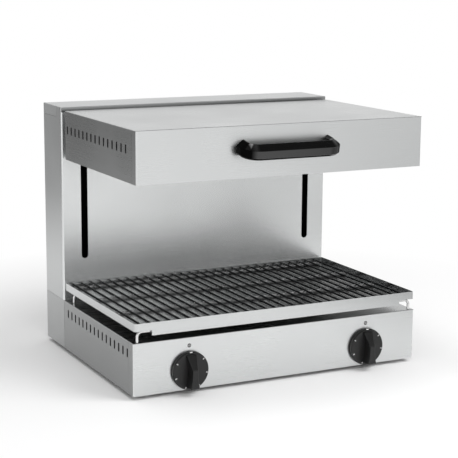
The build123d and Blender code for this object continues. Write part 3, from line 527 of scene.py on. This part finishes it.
mark_tree, given, result, mark_keys = node_tree("dial_marks", {
    "Marks": "int", "Step": "float", "Radius": "float", "Size": "vector",
    "Pointer Size": "vector", "Pointer Place": "vector", "Pointer Tilt": "vector"})
number = reckon(mark_tree, "ADD", node(mark_tree, "GeometryNodeInputIndex")["Index"], 1.0)
angle = reckon(mark_tree, "MULTIPLY", number, given["Step"])
across = reckon(mark_tree, "MULTIPLY", reckon(mark_tree, "SINE", angle, 0.0), given["Radius"])
upward = reckon(mark_tree, "MULTIPLY", reckon(mark_tree, "COSINE", angle, 0.0), given["Radius"])
spots = node(mark_tree, "GeometryNodePoints", Count=given["Marks"],
             Position=vector(mark_tree, x=across, z=upward))["Points"]
dash = node(mark_tree, "GeometryNodeMeshCube", Size=given["Size"])["Mesh"]
dashes = node(mark_tree, "GeometryNodeInstanceOnPoints", Points=spots, Instance=dash,
              Rotation=vector(mark_tree, y=angle))["Instances"]
pointer = node(mark_tree, "GeometryNodeMeshCube", Size=given["Pointer Size"])["Mesh"]
pointer = moved(mark_tree, pointer, Translation=given["Pointer Place"], Rotation=given["Pointer Tilt"])
dial = node(mark_tree, "GeometryNodeInstanceOnPoints", Points=given["Geometry"],
            Instance=join(mark_tree, dashes, pointer))["Instances"]
mark_tree.links.new(coated(mark_tree, dial, mark_white), result["Geometry"])
skirt_radius, face_radius, rim_height, face_height, ink = 0.036, 0.0345, 0.005, 0.0075, 0.0003
slope = math.atan2(skirt_radius - face_radius, face_height - rim_height)
for side in ("left", "right"):
    low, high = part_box(f"knob_{side}")
    face = ((low.x + high.x) / 2, high.y - face_height, (low.z + high.z) / 2)
    grow(f"marks_{side}", [face], mark_tree, mark_keys, {
        "Marks": 6, "Step": math.radians(50), "Radius": 0.0322, "Size": (0.0013, ink, 0.0036),
        "Pointer Size": (0.0050, 0.0023, ink), "Pointer Tilt": (slope, 0.0, 0.0),
        "Pointer Place": (0.0, (face_height - rim_height) / 2, (skirt_radius + face_radius) / 2)},
        crease=30, body=f"knob_{side}")


# Tray: bright pressed sheet with a deep front wall, on bent bright wires welded under it as legs.
# It stands loose on the base and slides out to the front.
# Painted reflection and shade: the floor inside the tray goes from light at the left to nearly black at the
# right.
floor_top, front_wall_back, floor_reflection_and_shade_tones = 0.1302, -0.2136, (0.58, 0.09)
floor_of_tray = (("Z", "LESS_THAN", floor_top), ("Y", "GREATER_THAN", front_wall_back))
tray_steel = brushed_steel("tray_steel", "X", "Y", tone=0.63, gloss=0.22,
                           painted_limits=floor_of_tray, painted_tones=floor_reflection_and_shade_tones)
finish(tray_steel, "drip_tray")
finish(rod_chrome, "tray_front_legs", "tray_rear_legs")


# Wire grid: round rods darkened by heat, welded across four thicker and brighter ones, with rounded
# ends and a small bead at each crossing. It lies loose in the tray.
def heated_wire(name, dark, light, metal):
    """Steel wire with the stains of heat and fat."""
    material, nodes, links, shader, place = start_material(name)
    stains = noise(nodes, links, place, (20.0, 12.0, 20.0), detail=3.0)
    links.new(tint(nodes, links, stains, dark, light), shader.inputs["Base Color"])
    links.new(spread(nodes, links, stains, low=0.24, high=0.38), shader.inputs["Roughness"])
    shader.inputs["Metallic"].default_value = metal
    shader.inputs["Specular IOR Level"].default_value = 0.05
    return material


grid_black = heated_wire("grid_black", dark=(0.002, 0.003, 0.004), light=(0.006, 0.007, 0.0085), metal=0.0)
# The thicker rods and the beads are lighter partly as brighter wire and partly as painted light: against the
# shade round the thicker rods, and as painted glints on the beads.
cross_wire_with_painted_light = heated_wire("cross_wire_with_painted_light", dark=(0.40, 0.40, 0.405), light=(0.55, 0.55, 0.55), metal=0.8)

grid_tree, given, result, grid_keys = node_tree("wire_grid", {
    "Rods": "int", "Rod Pitch": "float", "Rod Radius": "float", "Rod Length": "float", "Rod Start": "vector",
    "Cross Rods": "int", "Cross Pitch": "float", "Cross Radius": "float", "Cross Length": "float",
    "Cross Start": "vector", "Bead Radius": "float", "Seed": "int"})


def round_rod(tree, length, radius, turn):
    """A rod with both ends rounded, turned from upright."""
    core = reckon(tree, "SUBTRACT", length, reckon(tree, "MULTIPLY", radius, 2.0))
    body = node(tree, "GeometryNodeMeshCylinder", Vertices=20, Radius=radius, Depth=core)["Mesh"]
    end = node(tree, "GeometryNodeMeshUVSphere", Segments=20, Rings=8, Radius=radius)["Mesh"]
    ends = [moved(tree, end, Translation=vector(tree, z=reckon(tree, "MULTIPLY", core, share)))
            for share in (0.5, -0.5)]
    return moved(tree, join(tree, body, *ends), Rotation=turn)


def row(tree, count, start, step, shape, size=1.0):
    """One shape repeated along a line."""
    line = node(tree, "GeometryNodeMeshLine", Count=count, Start_Location=start, Offset=step)["Mesh"]
    scale = size if isinstance(size, bpy.types.NodeSocket) else (size, size, size)
    return node(tree, "GeometryNodeInstanceOnPoints", Points=line, Instance=shape, Scale=scale)["Instances"]


rod_step, cross_step = vector(grid_tree, x=given["Rod Pitch"]), vector(grid_tree, y=given["Cross Pitch"])
rods = row(grid_tree, given["Rods"], given["Rod Start"], rod_step,
           round_rod(grid_tree, given["Rod Length"], given["Rod Radius"], (math.pi / 2, 0.0, 0.0)))
crosses = row(grid_tree, given["Cross Rods"], given["Cross Start"], cross_step,
              round_rod(grid_tree, given["Cross Length"], given["Cross Radius"], (0.0, math.pi / 2, 0.0)))
rod_start = node(grid_tree, "ShaderNodeSeparateXYZ", Vector=given["Rod Start"])
cross_start = node(grid_tree, "ShaderNodeSeparateXYZ", Vector=given["Cross Start"])
bead_z = reckon(grid_tree, "ADD", cross_start["Z"], given["Cross Radius"])
bead = node(grid_tree, "GeometryNodeMeshUVSphere", Segments=12, Rings=8, Radius=given["Bead Radius"])["Mesh"]
bead_size = random(grid_tree, 0.8, 1.1, given["Seed"])
beads = row(grid_tree, given["Rods"], (0.0, 0.0, 0.0), rod_step, bead, bead_size)
beads = row(grid_tree, given["Cross Rods"], vector(grid_tree, rod_start["X"], cross_start["Y"], bead_z),
            cross_step, beads)
rods = coated(grid_tree, rods, grid_black)
crosses = coated(grid_tree, join(grid_tree, crosses, beads), cross_wire_with_painted_light)
grid_tree.links.new(join(grid_tree, rods, crosses), result["Geometry"])

low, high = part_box("wire_grid")
rod_count, rod_pitch, rod_radius = 29, 0.020, 0.002
cross_count, cross_radius, cross_inset = 4, 0.003, 0.008
grid = grow("grid", [(0.0, 0.0, 0.0)], grid_tree, grid_keys, {
    "Rods": rod_count, "Rod Pitch": rod_pitch, "Rod Radius": rod_radius, "Rod Length": high.y - low.y,
    "Rod Start": (-rod_pitch * (rod_count - 1) / 2, (low.y + high.y) / 2, high.z - rod_radius),
    "Cross Rods": cross_count, "Cross Radius": cross_radius, "Cross Length": high.x - low.x,
    "Cross Pitch": (high.y - low.y - 2 * cross_inset) / (cross_count - 1),
    "Cross Start": (0.0, low.y + cross_inset, low.z + cross_radius), "Bead Radius": 0.0027, "Seed": 4},
    crease=60, body="grid")
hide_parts("wire_grid")


# Studio: a pale floor that goes over into a white surround, with a dim ceiling and dim patches at
# the right and behind for the steel to mirror, and three soft lamps.
scene = bpy.context.scene
scene.view_settings.view_transform = "Standard"

world = bpy.data.worlds.new("studio")
scene.world = world
world.use_nodes = True
nodes, links = world.node_tree.nodes, world.node_tree.links
nodes.clear()
sky = nodes.new("ShaderNodeTexCoord").outputs["Generated"]


def dim_towards(nodes, links, direction, heading, level, start, end):
    """1 all round, falling to a level near one heading."""
    angle = nodes.new("ShaderNodeVectorMath")
    angle.operation = "DOT_PRODUCT"
    angle.inputs[1].default_value = heading
    links.new(direction, angle.inputs[0])
    fall = spread(nodes, links, angle.outputs["Value"], 1.0, level, start, end)
    fall.node.interpolation_type = "SMOOTHSTEP"
    return fall


ceiling = {"heading": (0.0, 0.0, 1.0), "level": 0.32, "start": 0.24, "end": 0.62}
right_side = {"heading": (0.88, -0.47, 0.0), "level": 0.62, "start": 0.74, "end": 0.98}
rear_side = {"heading": (-0.34, 0.94, 0.0), "level": 0.22, "start": 0.93, "end": 0.99}
upper_right = {"heading": (0.50, 0.0, 0.866), "level": 0.15, "start": 0.88, "end": 0.97}
room = dim_towards(nodes, links, sky, **ceiling)
for dimming in (right_side, rear_side, upper_right):
    room = combine(nodes, links, "MULTIPLY", room, dim_towards(nodes, links, sky, **dimming))
path = nodes.new("ShaderNodeLightPath").outputs
mirrored = combine(nodes, links, "MAXIMUM", path["Is Glossy Ray"], path["Is Transmission Ray"])
surround = nodes.new("ShaderNodeMix")
unmirrored_glow = 0.55
surround.inputs["A"].default_value = unmirrored_glow
links.new(mirrored, surround.inputs["Factor"])
links.new(room, surround.inputs["B"])
seen = nodes.new("ShaderNodeMix")
seen.inputs["B"].default_value = 1.0
links.new(path["Is Camera Ray"], seen.inputs["Factor"])
links.new(surround.outputs["Result"], seen.inputs["A"])
glow = nodes.new("ShaderNodeBackground")
glow.inputs["Color"].default_value = (1.0, 1.0, 1.0, 1.0)
links.new(seen.outputs["Result"], glow.inputs["Strength"])
links.new(glow.outputs["Background"], nodes.new("ShaderNodeOutputWorld").inputs["Surface"])

floor_radius, floor_corners, floor_drop = 2.6, 96, 0.0002
mesh = bpy.data.meshes.new("floor")
mesh.from_pydata([(floor_radius * math.cos(2 * math.pi * corner / floor_corners),
                   floor_radius * math.sin(2 * math.pi * corner / floor_corners), -floor_drop)
                  for corner in range(floor_corners)], [], [list(range(floor_corners))])
floor = bpy.data.objects.new("floor", mesh)
scene.collection.objects.link(floor)
floor_white, nodes, links, shader, place = start_material("floor_white")
nodes.remove(shader)
matt = nodes.new("ShaderNodeBsdfDiffuse")
matt.inputs["Color"].default_value = (0.92, 0.92, 0.92, 1.0)
white = nodes.new("ShaderNodeEmission")
clear = nodes.new("ShaderNodeBsdfTransparent")
far = nodes.new("ShaderNodeVectorMath")
far.operation = "LENGTH"
links.new(place, far.inputs[0])
path = nodes.new("ShaderNodeLightPath").outputs
mirrored = combine(nodes, links, "MAXIMUM", path["Is Glossy Ray"], path["Is Transmission Ray"])
shown = combine(nodes, links, "MAXIMUM", path["Is Camera Ray"], mirrored)
fade = spread(nodes, links, far.outputs["Value"], low=0.0, high=1.0, start=0.5, end=1.1)
outward = nodes.new("ShaderNodeVectorMath")
outward.operation = "NORMALIZE"
links.new(place, outward.inputs[0])
dimmer = {**right_side, "level": 0.42}
dimmed = dim_towards(nodes, links, outward.outputs["Vector"], **dimmer)
links.new(combine(nodes, links, "MAXIMUM", dimmed, path["Is Camera Ray"]), white.inputs["Strength"])
whiten = nodes.new("ShaderNodeMixShader")
links.new(combine(nodes, links, "MULTIPLY", fade, shown), whiten.inputs["Fac"])
links.new(matt.outputs["BSDF"], whiten.inputs[1])
links.new(white.outputs["Emission"], whiten.inputs[2])
vanish = nodes.new("ShaderNodeMixShader")
thin_out = spread(nodes, links, far.outputs["Value"], low=0.0, high=1.0, start=1.2, end=2.5)
links.new(thin_out, vanish.inputs["Fac"])
links.new(whiten.outputs["Shader"], vanish.inputs[1])
links.new(clear.outputs["BSDF"], vanish.inputs[2])
links.new(vanish.outputs["Shader"], nodes["Material Output"].inputs["Surface"])
floor.data.materials.append(floor_white)


def softbox(name, place, aim, width, height, power, mirrored):
    """A soft lamp, which polished metal mirrors or not."""
    lamp = bpy.data.lights.new(name, "AREA")
    lamp.shape = "RECTANGLE"
    lamp.size, lamp.size_y = width, height
    lamp.energy = power
    holder = bpy.data.objects.new(name, lamp)
    scene.collection.objects.link(holder)
    holder.location = place
    holder.rotation_euler = (Vector(aim) - Vector(place)).to_track_quat("-Z", "Y").to_euler()
    holder.visible_glossy = mirrored


softbox("key", place=(1.5, -1.7, 2.2), aim=(0.0, 0.0, 0.25),
        width=1.8, height=1.6, power=46, mirrored=False)
softbox("front", place=(-0.6, -2.6, 1.7), aim=(0.0, 0.0, 0.25),
        width=1.6, height=1.2, power=24, mirrored=False)
softbox("top", place=(-0.45, 0.35, 2.9), aim=(-0.2, 0.0, 0.4),
        width=0.9, height=0.9, power=14, mirrored=True)


# Camera: a long lens at the operator's left, a little above the hood and tipped down towards the
# grid. It stands where the photograph was taken from, with the same faint roll.
turn, tilt, roll = math.radians(26.625), math.radians(10.931), math.radians(0.391)
forward = Vector((math.sin(turn) * math.cos(tilt), math.cos(turn) * math.cos(tilt), -math.sin(tilt)))
level = Vector((math.cos(turn), -math.sin(turn), 0.0))
upright = level.cross(forward)
right = math.cos(roll) * level + math.sin(roll) * upright
up = -math.sin(roll) * level + math.cos(roll) * upright
stand_x, stand_y, stand_z = -1.2159, -2.41895, 0.7783
lens = bpy.data.cameras.new("camera")
lens.sensor_width = 36.0
lens.lens = 108.456
camera = bpy.data.objects.new("camera", lens)
scene.collection.objects.link(camera)
camera.matrix_world = Matrix((
    (right.x, up.x, -forward.x, stand_x), (right.y, up.y, -forward.y, stand_y),
    (right.z, up.z, -forward.z, stand_z), (0.0, 0.0, 0.0, 1.0)))
scene.camera = camera
